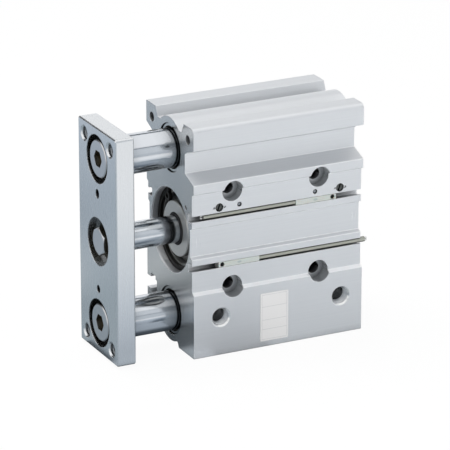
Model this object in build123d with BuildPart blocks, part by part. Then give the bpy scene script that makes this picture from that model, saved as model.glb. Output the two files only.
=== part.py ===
from build123d import *
import os
from math import degrees

# Compact guided pneumatic cylinder, air cushioned. The tool plate faces -X, the
# ported side faces -Y and the mounting side +Y, and the body stands on its narrow
# side. The origin is the centre of the four mounting threads, on the mounting face.
# Sizes are millimetres.

# Overall section and stroke
body_height = 120.0
bore_diameter = body_height / 3
side_wall = 7.0
body_depth = bore_diameter + 2 * side_wall
stroke = 25.0
retracted_gap = 12.0
shown_extension = 17.4
guide_rod_diameter = body_height / 6
boss_wall = 6.0
boss_inset = 1.0
guide_pitch = body_height - guide_rod_diameter - 2 * (boss_wall + boss_inset)
piston_rod_diameter = 14.0

# Clearances, all radial or per side
seat_gap = 0.02
running_gap = 0.05
end_gap = 0.3
seal_play = 0.1
tap_runout = 2.0

# Outline of the extruded body, in its cross-section
valley_top_width = 32.0
valley_floor_width = 27.0
valley_depth = 5.0
low_valley_reach = 8.0
low_valley_depth = 2.5
corner_block_height = 11.0
corner_radius = 2.5
edge_radius = 0.4
channel_diameter = 5.0
channel_side_inset = 6.5
channel_end_inset = 7.0
channel_spacing = body_depth - 2 * channel_side_inset
channel_height = body_height / 2 - channel_end_inset
recess_depth = 9.8
recess_roof = 4.2
recess_land = 4.3
recess_shoulder = 3.6
recess_slant = 7.5
step_depth = 2.0
step_height = 51.0
centre_depth = 2.3
centre_height = 14.4
back_step_depth = 1.6
back_step_height = 35.0
back_centre_depth = 1.4
back_centre_height = 14.0
side_slope = 1.0
back_notch_depth = 6.5
back_notch_height = 5.4

# T-slots on the mounting side
t_slot_mouth = 6.5
t_slot_lip = 4.0
t_slot_head = 10.5
t_slot_head_depth = 5.5
t_slot_relief = 1.5

# Sensor grooves, switches and their leads
groove_height = 13.0
groove_mouth = 3.0
groove_lip = 1.2
groove_width = 4.6
groove_depth = 3.4
groove_radius = 0.7
switch_length = 22.5
switch_gap = 0.15
lower_switch_x = 14.6
upper_switch_x = 57.3
switch_screw_inset = 2.0
switch_screw_diameter = 2.4
switch_screw_length = 2.2
switch_screw_sink = 0.5
switch_screw_slot = 0.5
switch_screw_slot_depth = 0.8
lead_diameter = 2.7
lead_sink = 0.2
lead_tail = 2.8
lead_front_end = 6.5
core_diameter = 0.9
core_tail = 1.4
core_gap = 0.2

# Covers that close the bore, and their retaining rings
cover_seat_step = 1.5
cover_diameter = bore_diameter + 2 * cover_seat_step
mouth_chamfer = 0.5
front_recess = 5.2
front_cover_length = 19.8
head_cover_length = 21.4
rear_recess = 3.6
cover_boss_inset = 7.2
cover_boss_diameter = cover_diameter - 2 * cover_boss_inset
cover_boss_height = 2.2
cover_relief_width = 3.9
cover_relief_depth = 3.3
ring_thickness = 1.6
ring_groove_width = 1.75
ring_groove_diameter = cover_diameter + 2.2
ring_inner_diameter = cover_diameter - 4.6
ring_gap_width = 10.0
ring_gap_angle = 76.0
ring_lug_diameter = 5.4
ring_lug_hole = 2.4
o_ring_groove_width = 2.2
o_ring_groove_depth = 1.7
o_ring_outer_inset = 2.4
o_ring_chamber_inset = 3.6
air_groove_width = 4.8
air_groove_depth = 2.5
air_hole_diameter = 3.0
cavity_diameter = 22.0
front_cavity_length = 13.5
head_cavity_length = 19.0
cushion_diameter = 20.0
cushion_seal_length = 3.2
cushion_seal_wall = 2.5
cushion_seal_inset = 1.0
wiper_diameter = 16.8
wiper_length = 2.0
wiper_lip = 0.6
rod_seal_diameter = 20.0
rod_seal_length = 3.8
rod_seal_inset = 0.6

# Piston and what it carries
piston_length = 18.4
piston_gap = 0.35
spigot_diameter = 10.0
land_width = 1.7
wear_ring_width = 5.0
wear_ring_depth = 1.9
magnet_width = 3.4
magnet_depth = 3.0
piston_seal_width = 3.6
piston_seal_depth = 3.6
front_cushion_length = 13.0
cushion_cup_floor = 2.0
cushion_tip = 1.0
nut_length = 12.5
nut_thread_depth = 9.5
nut_socket = 8.0
nut_socket_depth = 2.0
gasket_section = 1.5

# Tool plate and its bolts
plate_side_inset = 5.0
plate_end_inset = 1.0
plate_width = body_depth - 2 * plate_side_inset
plate_height = body_height - 2 * plate_end_inset
plate_thickness = 10.0
plate_corner_radius = 1.2
plate_edge = 0.5
plate_recess_gap = 2.35
plate_recess_diameter = guide_rod_diameter + 2 * plate_recess_gap
plate_recess_depth = 5.5
plate_thread_inset = 7.0
plate_thread_width = plate_width - 2 * plate_thread_inset
plate_thread_height = plate_height - 2 * plate_thread_inset
plate_pin_diameter = 4.0
plate_pin_depth = 6.0
plate_pin_offset = 18.0
plate_pin_spacing = guide_pitch - 2 * plate_pin_offset
plate_pin_slot = 4.8
rod_bolt_head = 19.2
rod_bolt_head_height = 5.0
rod_bolt_socket = 8.0
rod_bolt_socket_depth = 3.4
rod_bolt_thread = 10.0
rod_bolt_reach = 18.0
centre_bolt_flats = 13.0
centre_bolt_head_height = 5.4
centre_bolt_thread = 8.0
centre_bolt_reach = 14.0
bolt_hole_gap = 0.3
head_rim = 0.5

# Guide rods, their bushes, felts and holders
guide_rod_length = 104.0
rod_end_chamfer = 1.0
bush_wall = 2.5
front_bush_start = 5.6
front_bush_length = 24.0
rear_bush_end = 66.2
rear_bush_length = 22.0
holder_start = 0.7
holder_length = 1.6
holder_gap = 0.9
guide_relief = 0.8

# Ports, mounting holes, cushion needles and plugged air passages
front_port_x = 15.0
rear_port_inset = 12.0
port_inset = 20.0
port_height = body_height / 2 - port_inset
port_core_diameter = 8.6
port_mouth_diameter = 10.3
port_depth = 9.0
passage_diameter = 4.0
passage_start = 3.0
mount_row_x = 22.0
mount_pitch_x = 48.0
mount_hole_diameter = 6.4
mount_hole_wall = 0.3
mount_pitch_z = cover_diameter + mount_hole_diameter + 2 * mount_hole_wall
mount_bore_diameter = 11.0
mount_bore_depth = 7.5
thread_core_diameter = 6.8
thread_mouth_diameter = 8.2
mount_thread_depth = 16.0
rear_thread_depth = 20.0
needle_inset = 2.8
needle_height = bore_diameter / 2 - needle_inset
needle_hole_diameter = 4.4
needle_hole_depth = 7.0
needle_seat_diameter = 1.8
needle_sink = 0.7
needle_length = 4.6
needle_tip_length = 2.2
needle_slot = 0.8
needle_slot_depth = 1.0
needle_ring_section = 1.0
stake_diameter = 1.2
stake_offset = 2.9
stake_depth = 0.5
bleed_diameter = 2.0
cross_bleed_diameter = 1.6
bleed_inset = 9.0
bleed_end_gap = 1.0
ball_diameter = 2.5
ball_seat_depth = 2.4
ball_sink = 1.3

# Blank type plate, a thin foil
label_width = 15.6
label_height = 25.5
label_thickness = 0.12
label_x = 44.5
label_inset = 15.8

# Places along the stroke, measured back from the body's front face
front_cover_end = front_recess + front_cover_length
head_cover_start = front_cover_end + stroke + piston_length + 2 * end_gap
head_cover_end = head_cover_start + head_cover_length
body_length = head_cover_end + rear_recess
rear_port_x = body_length - rear_port_inset
front_bleed_x = front_cover_end + bleed_end_gap
rear_bleed_x = head_cover_start - bleed_end_gap
piston_front = front_cover_end + end_gap + stroke - shown_extension
piston_rear = piston_front + piston_length
plate_back = -(retracted_gap + shown_extension)
plate_front = plate_back - plate_thickness

# Radii and half sizes that several pieces share
half_depth = body_depth / 2
half_height = body_height / 2
bore_radius = bore_diameter / 2
cover_radius = cover_diameter / 2
cover_boss_radius = cover_boss_diameter / 2
rod_radius = piston_rod_diameter / 2
guide_radius = guide_rod_diameter / 2
guide_height = guide_pitch / 2
bush_radius = guide_radius + bush_wall
spigot_radius = spigot_diameter / 2
cushion_radius = cushion_diameter / 2
cavity_radius = cavity_diameter / 2
cushion_seal_radius = cushion_radius + running_gap + cushion_seal_wall
o_ring_floor = cover_radius - o_ring_groove_depth
piston_radius = bore_radius - piston_gap
needle_hole_radius = needle_hole_diameter / 2
label_z = label_inset - half_height

# The front face lies so that the mounting threads are centred on the origin
front_x = -(mount_row_x + mount_pitch_x / 2)
axis_y = -half_depth
ported_y = -body_depth
step_y = ported_y + step_depth

ported = (0, -1, 0)
mounting = (0, 1, 0)
forward = (-1, 0, 0)
rearward = (1, 0, 0)

os.makedirs("parts", exist_ok=True)


def across(distance):
    """Plane square to the stroke: local X is +Y and local Y is +Z, from the rod's axis."""
    return Plane(origin=(front_x + distance, axis_y, 0), x_dir=(0, 1, 0), z_dir=(1, 0, 0))


def along(height=0):
    """Plane through a rod's axis: local X runs back from the front face, local Y is radius."""
    return Plane(origin=(front_x, axis_y, height), x_dir=(1, 0, 0), z_dir=(0, -1, 0))


def rod_axis(height=0):
    """Axis of the piston rod, or of a guide rod at its height."""
    return Axis((front_x, axis_y, height), (1, 0, 0))


def spot(distance, y, z, facing):
    """Place on a face of the object, with its Z axis pointing out of that face."""
    return Plane(origin=(front_x + distance, y, z), z_dir=facing).location


def band(start, end, inner, outer, mode=Mode.ADD):
    """Rectangle of a turned piece's profile, from start to end and from radius to radius."""
    Polygon((start, inner), (end, inner), (end, outer), (start, outer), mode=mode)


def rim(end, radius, size):
    """Bevel at a turned piece's rim; a negative size is for the end that faces forward."""
    Polygon((end, radius), (end - size, radius), (end, radius - abs(size)), mode=Mode.SUBTRACT)


def sloped_recess(face, depth, width):
    """Shallow channel along the body, symmetric about the axis and with sloped sides."""
    floor = face - depth if face > 0 else face + depth
    reach = width / 2
    Polygon(
        (face, reach + side_slope),
        (floor, reach),
        (floor, -reach),
        (face, -reach - side_slope),
        mode=Mode.SUBTRACT,
    )


# The body is one aluminium extrusion, sawn to length and then machined. Its section
# has corner blocks, a round boss over each guide rod, stepped sides, two T-slots on
# the mounting side and sensor grooves on both wide sides.
block_foot = half_height - corner_block_height
valley_floor = half_height - valley_depth
recess_face = half_depth - recess_depth
recess_top = block_foot - recess_roof
recess_bottom = (mount_pitch_z + mount_bore_diameter) / 2 + recess_land
step_face = half_depth - step_depth
back_step_face = half_depth - back_step_depth
notch_face = half_depth - back_notch_depth
notch_foot = block_foot - back_notch_height
t_slot_height = (notch_foot + (mount_pitch_z + thread_core_diameter) / 2) / 2

with BuildPart() as cylinder_body:
    with BuildSketch(across(0)):
        Rectangle(body_depth, body_height)
        # Valleys beside the bosses, on top and underneath
        Polygon(
            (-valley_top_width / 2, half_height),
            (-valley_floor_width / 2, valley_floor),
            (valley_floor_width / 2, valley_floor),
            (valley_top_width / 2, half_height),
            mode=Mode.SUBTRACT,
        )
        Polygon(
            (-low_valley_reach - 1.5, -half_height),
            (-low_valley_reach, low_valley_depth - half_height),
            (low_valley_reach, -valley_floor),
            (valley_floor_width / 2, -valley_floor),
            (valley_top_width / 2, -half_height),
            mode=Mode.SUBTRACT,
        )
        with Locations((0, guide_height), (0, -guide_height)):
            Circle(guide_radius + boss_wall)
        # Deep recess under the upper corner block, on the ported side
        Polygon(
            (-half_depth, block_foot),
            (-half_depth + recess_slant, block_foot - 2.8),
            (-recess_face, recess_top),
            (-recess_face, recess_bottom),
            (-half_depth, recess_bottom - recess_shoulder),
            mode=Mode.SUBTRACT,
        )
        # Notches between the corner blocks and the T-slot lands
        for level in (1, -1):
            Polygon(
                (half_depth, level * block_foot),
                (notch_face, level * (block_foot - 2.7)),
                (notch_face, level * (block_foot - 4.0)),
                (half_depth, level * notch_foot),
                mode=Mode.SUBTRACT,
            )
        sloped_recess(-half_depth, step_depth, step_height)
        sloped_recess(-step_face, centre_depth, centre_height)
        sloped_recess(half_depth, back_step_depth, back_step_height)
        sloped_recess(back_step_face, back_centre_depth, back_centre_height)
        # The die rounds every corner a little, and the upper ported one most
        corners = vertices().sort_by_distance((-half_depth, half_height))
        fillet(corners[1:], edge_radius)
        fillet(vertices().sort_by_distance((-half_depth, half_height))[0], corner_radius)
        # T-slots: lips at the face, a wider head behind them and a relief at the bottom
        for level in (t_slot_height, -t_slot_height):
            with Locations((half_depth, level)):
                Rectangle(
                    t_slot_lip + t_slot_head_depth + t_slot_relief,
                    t_slot_mouth,
                    align=(Align.MAX, Align.CENTER),
                    mode=Mode.SUBTRACT,
                )
            with Locations((half_depth - t_slot_lip, level)):
                Rectangle(
                    t_slot_head_depth,
                    t_slot_head,
                    align=(Align.MAX, Align.CENTER),
                    mode=Mode.SUBTRACT,
                )
        # Sensor grooves: a narrow mouth and a wider chamber
        for level in (groove_height, -groove_height):
            for face, inward in ((-step_face, 1), (back_step_face, -1)):
                with Locations((face, level)):
                    Rectangle(2 * groove_lip, groove_mouth, mode=Mode.SUBTRACT)
                with Locations((face + inward * (groove_lip + groove_depth / 2), level)):
                    RectangleRounded(groove_depth, groove_width, groove_radius, mode=Mode.SUBTRACT)
        with Locations((0, channel_height)), GridLocations(channel_spacing, 0, 2, 1):
            Circle(channel_diameter / 2, mode=Mode.SUBTRACT)
    extrude(amount=body_length)
    # Bore, cover seats and the grooves of the retaining rings
    with BuildSketch(along()):
        band(0, body_length, 0, bore_radius)
        band(0, front_cover_end, 0, cover_radius)
        band(head_cover_start, body_length, 0, cover_radius)
        band(front_recess - ring_groove_width, front_recess, 0, ring_groove_diameter / 2)
        band(head_cover_end, head_cover_end + ring_groove_width, 0, ring_groove_diameter / 2)
        Polygon((0, 0), (0, cover_radius + mouth_chamfer), (cover_radius + mouth_chamfer, 0))
    revolve(axis=rod_axis(), mode=Mode.SUBTRACT)
    # Guide-rod bores: full size for the bushes, then a relief to the rear end
    for level in (guide_height, -guide_height):
        with BuildSketch(along(level)):
            band(0, rear_bush_end, 0, bush_radius)
            band(0, body_length, 0, guide_radius + guide_relief)
        revolve(axis=rod_axis(level), mode=Mode.SUBTRACT)
    # Mounting holes: counterbored from the ported side, threaded on the mounting side
    for x in (mount_row_x, mount_row_x + mount_pitch_x):
        for z in (mount_pitch_z / 2, -mount_pitch_z / 2):
            with Locations(spot(x, ported_y, z, ported)):
                CounterBoreHole(mount_hole_diameter / 2, mount_bore_diameter / 2, mount_bore_depth)
            with Locations(spot(x, 0, z, mounting)):
                CounterSinkHole(thread_core_diameter / 2, thread_mouth_diameter / 2, mount_thread_depth)
    # Threads for mounting by the rear end
    for y in (channel_spacing / 2, -channel_spacing / 2):
        for z in (channel_height, -channel_height):
            with Locations(spot(body_length, axis_y + y, z, rearward)):
                CounterSinkHole(thread_core_diameter / 2, thread_mouth_diameter / 2, rear_thread_depth)
    # Ports, each with a slanted passage up to its cover's air groove
    passage_y = ported_y + port_depth - passage_start
    for x in (front_port_x, rear_port_x):
        with Locations(spot(x, ported_y, -port_height, ported)):
            CounterSinkHole(port_core_diameter / 2, port_mouth_diameter / 2, port_depth)
        port_floor = Vector(front_x + x, passage_y, passage_start / 2 - port_height)
        bore_bottom = Vector(front_x + x, axis_y, -bore_radius)
        with BuildSketch(Plane(origin=port_floor, z_dir=bore_bottom - port_floor)):
            Circle(passage_diameter / 2)
        extrude(amount=(bore_bottom - port_floor).length, mode=Mode.SUBTRACT)
    # Needle holes with their staking marks
    for x in (front_port_x, rear_port_x):
        with Locations(spot(x, step_y, needle_height, ported)):
            CounterBoreHole(
                needle_seat_diameter / 2,
                needle_hole_radius,
                needle_hole_depth,
                depth=needle_hole_depth + 6.5,
            )
        for offset in (stake_offset, -stake_offset):
            with Locations(spot(x + offset, step_y, needle_height, ported)):
                Hole(stake_diameter / 2, depth=stake_depth)
    # Bleed passages from the chamber's ends to the needles, with seats for ball plugs
    bleed_y = ported_y + bleed_inset
    for x, facing, length in (
        (0, forward, front_bleed_x),
        (body_length, rearward, body_length - rear_bleed_x),
    ):
        with Locations(spot(x, bleed_y, needle_height, facing)):
            CounterBoreHole(bleed_diameter / 2, ball_diameter / 2, ball_seat_depth, depth=length)
    for x in (front_bleed_x, rear_bleed_x):
        with Locations(spot(x, step_y, needle_height, ported)):
            CounterBoreHole(
                cross_bleed_diameter / 2,
                ball_diameter / 2,
                ball_seat_depth,
                depth=half_depth - bleed_inset,
            )

cylinder_body.part.label = "cylinder_body"
export_step(cylinder_body.part, "parts/cylinder_body.step")


# Steel balls pressed into the passages' open ends
ball_depth = ball_sink
with BuildPart() as ball_plugs:
    with Locations(
        (front_x + ball_depth, bleed_y, needle_height),
        (front_x + body_length - ball_depth, bleed_y, needle_height),
        (front_x + front_bleed_x, step_y + ball_depth, needle_height),
        (front_x + rear_bleed_x, step_y + ball_depth, needle_height),
    ):
        Sphere(ball_diameter / 2 - seat_gap)
ball_plugs.part.label = "ball_plugs"
export_step(ball_plugs.part, "parts/ball_plugs.step")


# Rod cover: a turned aluminium collar that guides and seals the piston rod. Air comes
# in through its outer groove and four holes, and the cushion ring closes its cavity.
boss_front = front_recess - cover_boss_height
rod_seal_start = boss_front + wiper_length + rod_seal_inset
front_seal_end = front_cover_end - cushion_seal_inset
front_seal_start = front_seal_end - cushion_seal_length
front_o_rings = (
    front_recess + o_ring_outer_inset,
    front_cover_end - o_ring_chamber_inset - o_ring_groove_width,
)

with BuildPart() as rod_cover:
    with BuildSketch(along()):
        band(boss_front, front_cover_end, rod_radius + running_gap, cover_boss_radius)
        band(front_recess, front_cover_end, cover_boss_radius, cover_radius - seat_gap)
        band(
            front_recess,
            front_recess + cover_relief_depth,
            cover_boss_radius,
            cover_boss_radius + cover_relief_width,
            Mode.SUBTRACT,
        )
        rim(boss_front, cover_boss_radius, -0.4)
        band(boss_front, boss_front + wiper_length, 0, wiper_diameter / 2, Mode.SUBTRACT)
        band(rod_seal_start, rod_seal_start + rod_seal_length, 0, rod_seal_diameter / 2, Mode.SUBTRACT)
        band(front_cover_end - front_cavity_length, front_cover_end, 0, cavity_radius, Mode.SUBTRACT)
        band(front_seal_start, front_seal_end, 0, cushion_seal_radius, Mode.SUBTRACT)
        for start in front_o_rings:
            band(start, start + o_ring_groove_width, o_ring_floor, cover_radius, Mode.SUBTRACT)
        band(
            front_port_x - air_groove_width / 2,
            front_port_x + air_groove_width / 2,
            cover_radius - air_groove_depth,
            cover_radius,
            Mode.SUBTRACT,
        )
    revolve(axis=rod_axis())
    for facing in ((0, 0, 1), (0, 1, 0)):
        with BuildSketch(Plane(origin=(front_x + front_port_x, axis_y, 0), z_dir=facing)):
            Circle(air_hole_diameter / 2)
        extrude(amount=cover_radius, both=True, mode=Mode.SUBTRACT)
rod_cover.part.label = "rod_cover"
export_step(rod_cover.part, "parts/rod_cover.step")


# Head cover: the plug that closes the rear end, with the same grooves and seal
head_seal_start = head_cover_start + cushion_seal_inset
head_o_rings = (
    head_cover_start + o_ring_chamber_inset,
    head_cover_end - o_ring_outer_inset - o_ring_groove_width,
)
dish_radius = cover_boss_radius
dish_depth = 0.8

with BuildPart() as head_cover:
    with BuildSketch(along()):
        band(head_cover_start, head_cover_end, 0, cover_radius - seat_gap)
        band(head_cover_end - dish_depth, head_cover_end, 0, dish_radius, Mode.SUBTRACT)
        band(head_cover_start, head_cover_start + head_cavity_length, 0, cavity_radius, Mode.SUBTRACT)
        band(head_seal_start, head_seal_start + cushion_seal_length, 0, cushion_seal_radius, Mode.SUBTRACT)
        for start in head_o_rings:
            band(start, start + o_ring_groove_width, o_ring_floor, cover_radius, Mode.SUBTRACT)
        band(
            rear_port_x - air_groove_width / 2,
            rear_port_x + air_groove_width / 2,
            cover_radius - air_groove_depth,
            cover_radius,
            Mode.SUBTRACT,
        )
    revolve(axis=rod_axis())
    for facing in ((0, 0, 1), (0, 1, 0)):
        with BuildSketch(Plane(origin=(front_x + rear_port_x, axis_y, 0), z_dir=facing)):
            Circle(air_hole_diameter / 2)
        extrude(amount=cover_radius, both=True, mode=Mode.SUBTRACT)
head_cover.part.label = "head_cover"
export_step(head_cover.part, "parts/head_cover.step")


# O-rings, two on each cover, squeezed between the groove's floor and the seat
o_ring_section = o_ring_groove_depth / 2 - seat_gap
for name, starts in (("rod_cover_o_rings", front_o_rings), ("head_cover_o_rings", head_o_rings)):
    with BuildPart() as o_rings:
        with BuildSketch(along()):
            for start in starts:
                with Locations((start + o_ring_groove_width / 2, cover_radius - o_ring_groove_depth / 2)):
                    Circle(o_ring_section)
        revolve(axis=rod_axis())
    o_rings.part.label = name
    export_step(o_rings.part, f"parts/{name}.step")


# Retaining rings: spring steel, snapped into the bore's grooves, with two pierced lugs
lug_circle = cover_boss_radius + 0.6 + ring_lug_diameter / 2
lug_turn = degrees((ring_gap_width + ring_lug_diameter) / 2 / lug_circle)
for name, ring_start in (
    ("rod_cover_ring", front_recess - ring_thickness),
    ("head_cover_ring", head_cover_end),
):
    with BuildPart() as retaining_ring:
        with BuildSketch(across(ring_start)):
            Circle(ring_groove_diameter / 2 - seat_gap)
            Circle(ring_inner_diameter / 2, mode=Mode.SUBTRACT)
            Rectangle(
                ring_groove_diameter,
                ring_gap_width,
                rotation=ring_gap_angle,
                align=(Align.MIN, Align.CENTER),
                mode=Mode.SUBTRACT,
            )
            for turn in (lug_turn, -lug_turn):
                with PolarLocations(lug_circle, 1, start_angle=ring_gap_angle + turn):
                    Circle(ring_lug_diameter / 2)
                    Circle(ring_lug_hole / 2, mode=Mode.SUBTRACT)
        extrude(amount=ring_thickness)
    retaining_ring.part.label = name
    export_step(retaining_ring.part, f"parts/{name}.step")


# Rod wiper with its lip standing forward, and the rod's U-shaped seal behind it
wiper_radius = wiper_diameter / 2 - seat_gap
with BuildPart() as rod_wiper:
    with BuildSketch(along()):
        band(boss_front + 0.3, boss_front + wiper_length, rod_radius + running_gap, wiper_radius)
        Polygon(
            (boss_front - wiper_lip, rod_radius + running_gap),
            (boss_front + 0.3, rod_radius + running_gap),
            (boss_front + 0.3, wiper_radius - 0.4),
            (boss_front - wiper_lip, rod_radius + running_gap + 0.4),
        )
    revolve(axis=rod_axis())
rod_wiper.part.label = "rod_wiper"
export_step(rod_wiper.part, "parts/rod_wiper.step")

rod_seal_end = rod_seal_start + rod_seal_length
rod_seal_radius = rod_seal_diameter / 2
rod_seal_middle = (rod_radius + rod_seal_radius) / 2
with BuildPart() as rod_seal:
    with BuildSketch(along()):
        band(rod_seal_start, rod_seal_end - seal_play, rod_radius + running_gap, rod_seal_radius - seat_gap)
        Polygon(
            (rod_seal_end, rod_seal_middle - 0.7),
            (rod_seal_end - rod_seal_length / 2, rod_seal_middle),
            (rod_seal_end, rod_seal_middle + 0.7),
            mode=Mode.SUBTRACT,
        )
    revolve(axis=rod_axis())
rod_seal.part.label = "rod_seal"
export_step(rod_seal.part, "parts/rod_seal.step")


# Cushion seals: they close on the cushion rings near each end of the stroke
for name, start in (("front_cushion_seal", front_seal_start), ("rear_cushion_seal", head_seal_start)):
    with BuildPart() as cushion_seal:
        with BuildSketch(along()):
            band(
                start + seal_play,
                start + cushion_seal_length - seal_play,
                cushion_radius + running_gap,
                cushion_seal_radius - seat_gap,
            )
            band(
                start + cushion_seal_length / 3,
                start + cushion_seal_length * 2 / 3,
                cushion_radius,
                cushion_radius + 0.6,
                Mode.SUBTRACT,
            )
        revolve(axis=rod_axis())
    cushion_seal.part.label = name
    export_step(cushion_seal.part, f"parts/{name}.step")


# Piston rod: hard-chromed steel, tapped for the plate's bolt and stepped for the piston
centre_hole_end = plate_back + centre_bolt_reach + tap_runout
with BuildPart() as piston_rod:
    with BuildSketch(along()):
        band(plate_back, piston_front - cushion_cup_floor, 0, rod_radius)
        rim(plate_back, rod_radius, -rod_end_chamfer / 2)
        band(piston_front - cushion_cup_floor, piston_rear + nut_thread_depth - 0.5, 0, spigot_radius)
        band(plate_back, centre_hole_end, 0, centre_bolt_thread / 2 + seat_gap, Mode.SUBTRACT)
    revolve(axis=rod_axis())
piston_rod.part.label = "piston_rod"
export_step(piston_rod.part, "parts/piston_rod.step")


# Piston: grooves for the wear ring, the magnet and the seal, and one inside for a gasket
wear_start = piston_front + land_width
magnet_start = wear_start + wear_ring_width + land_width
seal_start = magnet_start + magnet_width + land_width
gasket_start = piston_front + piston_length / 2
gasket_width = gasket_section + 2 * seal_play
with BuildPart() as piston:
    with BuildSketch(along()):
        band(piston_front, piston_rear, spigot_radius + seat_gap, piston_radius)
        rim(piston_front, piston_radius, -0.6)
        rim(piston_rear, piston_radius, 0.6)
        for start, width, floor in (
            (wear_start, wear_ring_width, bore_radius - wear_ring_depth),
            (magnet_start, magnet_width, piston_radius - magnet_depth),
            (seal_start, piston_seal_width, bore_radius - piston_seal_depth),
        ):
            band(start, start + width, floor, bore_radius, Mode.SUBTRACT)
        band(gasket_start, gasket_start + gasket_width, 0, spigot_radius + gasket_section, Mode.SUBTRACT)
    revolve(axis=rod_axis())
piston.part.label = "piston"
export_step(piston.part, "parts/piston.step")

with BuildPart() as wear_ring:
    with BuildSketch(along()):
        band(
            wear_start + seat_gap,
            wear_start + wear_ring_width - seat_gap,
            bore_radius - wear_ring_depth + seat_gap,
            bore_radius - running_gap,
        )
    revolve(axis=rod_axis())
wear_ring.part.label = "wear_ring"
export_step(wear_ring.part, "parts/wear_ring.step")

with BuildPart() as piston_magnet:
    with BuildSketch(along()):
        band(
            magnet_start + seat_gap,
            magnet_start + magnet_width - seat_gap,
            piston_radius - magnet_depth + seat_gap,
            piston_radius - 0.1,
        )
    revolve(axis=rod_axis())
piston_magnet.part.label = "piston_magnet"
export_step(piston_magnet.part, "parts/piston_magnet.step")

seal_middle = seal_start + piston_seal_width / 2
with BuildPart() as piston_seal:
    with BuildSketch(along()):
        band(
            seal_start + seal_play,
            seal_start + piston_seal_width - seal_play,
            bore_radius - piston_seal_depth + seat_gap,
            bore_radius - running_gap,
        )
        Polygon(
            (seal_middle - 1, bore_radius),
            (seal_middle, bore_radius - 1),
            (seal_middle + 1, bore_radius),
            mode=Mode.SUBTRACT,
        )
    revolve(axis=rod_axis())
piston_seal.part.label = "piston_seal"
export_step(piston_seal.part, "parts/piston_seal.step")

with BuildPart() as piston_gasket:
    with BuildSketch(along()):
        with Locations((gasket_start + gasket_width / 2, spigot_radius + gasket_section / 2)):
            Circle(gasket_section / 2 - seat_gap)
    revolve(axis=rod_axis())
piston_gasket.part.label = "piston_gasket"
export_step(piston_gasket.part, "parts/piston_gasket.step")


# Cushion ring in front of the piston, clamped on the rod's step
with BuildPart() as front_cushion_ring:
    with BuildSketch(along()):
        band(piston_front - front_cushion_length, piston_front, rod_radius + seat_gap, cushion_radius)
        band(piston_front - cushion_cup_floor, piston_front, spigot_radius + seat_gap, cushion_radius)
        rim(piston_front - front_cushion_length, cushion_radius, -cushion_tip)
    revolve(axis=rod_axis())
front_cushion_ring.part.label = "front_cushion_ring"
export_step(front_cushion_ring.part, "parts/front_cushion_ring.step")


# Cushion nut behind the piston: it holds the piston and is the rear cushion ring
nut_end = piston_rear + nut_length
with BuildPart() as cushion_nut:
    with BuildSketch(along()):
        band(piston_rear, nut_end, 0, cushion_radius)
        band(piston_rear, piston_rear + nut_thread_depth, 0, spigot_radius + seat_gap, Mode.SUBTRACT)
        rim(nut_end, cushion_radius, cushion_tip)
    revolve(axis=rod_axis())
    with BuildSketch(across(nut_end)):
        RegularPolygon(nut_socket / 2, 6, major_radius=False)
    extrude(amount=-nut_socket_depth, mode=Mode.SUBTRACT)
cushion_nut.part.label = "cushion_nut"
export_step(cushion_nut.part, "parts/cushion_nut.step")


# Tool plate: nickel-plated steel, with tapped corners, two dowel holes, one of them
# slotted, and three recesses for the bolts that carry it
plate_y = axis_y
with BuildPart() as tool_plate:
    with BuildSketch(across(plate_front)):
        RectangleRounded(plate_width, plate_height, plate_corner_radius)
    extrude(amount=plate_thickness)
    chamfer(edges().group_by(Axis.X)[0], plate_edge)
    chamfer(edges().group_by(Axis.X)[-1], plate_edge)
    with BuildSketch(across(plate_front)):
        with GridLocations(0, guide_height, 1, 3):
            Circle(plate_recess_diameter / 2)
        with Locations((0, -plate_pin_spacing / 2)):
            Circle(plate_pin_diameter / 2)
        with Locations((0, plate_pin_spacing / 2)):
            SlotOverall(plate_pin_slot, plate_pin_diameter, rotation=90)
    extrude(amount=plate_recess_depth, mode=Mode.SUBTRACT)
    with BuildSketch(across(plate_front)):
        with Locations((0, -plate_pin_spacing / 2)):
            Circle(plate_pin_diameter / 2)
        with Locations((0, plate_pin_spacing / 2)):
            SlotOverall(plate_pin_slot, plate_pin_diameter, rotation=90)
    extrude(amount=plate_pin_depth, mode=Mode.SUBTRACT)
    with BuildSketch(across(plate_front)):
        Circle(centre_bolt_thread / 2 + bolt_hole_gap)
        with Locations((0, guide_height), (0, -guide_height)):
            Circle(rod_bolt_thread / 2 + bolt_hole_gap)
    extrude(amount=plate_thickness, mode=Mode.SUBTRACT)
    for y in (plate_thread_width / 2, -plate_thread_width / 2):
        for z in (plate_thread_height / 2, -plate_thread_height / 2):
            with Locations(spot(plate_front, plate_y + y, z, forward)):
                CounterSinkHole(thread_core_diameter / 2, thread_mouth_diameter / 2)
            with Locations(spot(plate_back, plate_y + y, z, rearward)):
                CounterSinkHole(thread_core_diameter / 2, thread_mouth_diameter / 2)
tool_plate.part.label = "tool_plate"
export_step(tool_plate.part, "parts/tool_plate.step")


# Low-head bolts that pull the plate onto the guide rods
recess_floor = plate_front + plate_recess_depth
rod_head_front = recess_floor - rod_bolt_head_height
for name, level in (("upper_rod_bolt", guide_height), ("lower_rod_bolt", -guide_height)):
    with BuildPart() as rod_bolt:
        with BuildSketch(along(level)):
            band(rod_head_front, recess_floor, 0, rod_bolt_head / 2)
            rim(rod_head_front, rod_bolt_head / 2, -head_rim)
            band(recess_floor, plate_back + rod_bolt_reach, 0, rod_bolt_thread / 2)
            rim(plate_back + rod_bolt_reach, rod_bolt_thread / 2, head_rim)
        revolve(axis=rod_axis(level))
        with BuildSketch(across(rod_head_front)):
            with Locations((0, level)):
                RegularPolygon(rod_bolt_socket / 2, 6, major_radius=False)
        extrude(amount=rod_bolt_socket_depth, mode=Mode.SUBTRACT)
    rod_bolt.part.label = name
    export_step(rod_bolt.part, f"parts/{name}.step")


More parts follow.
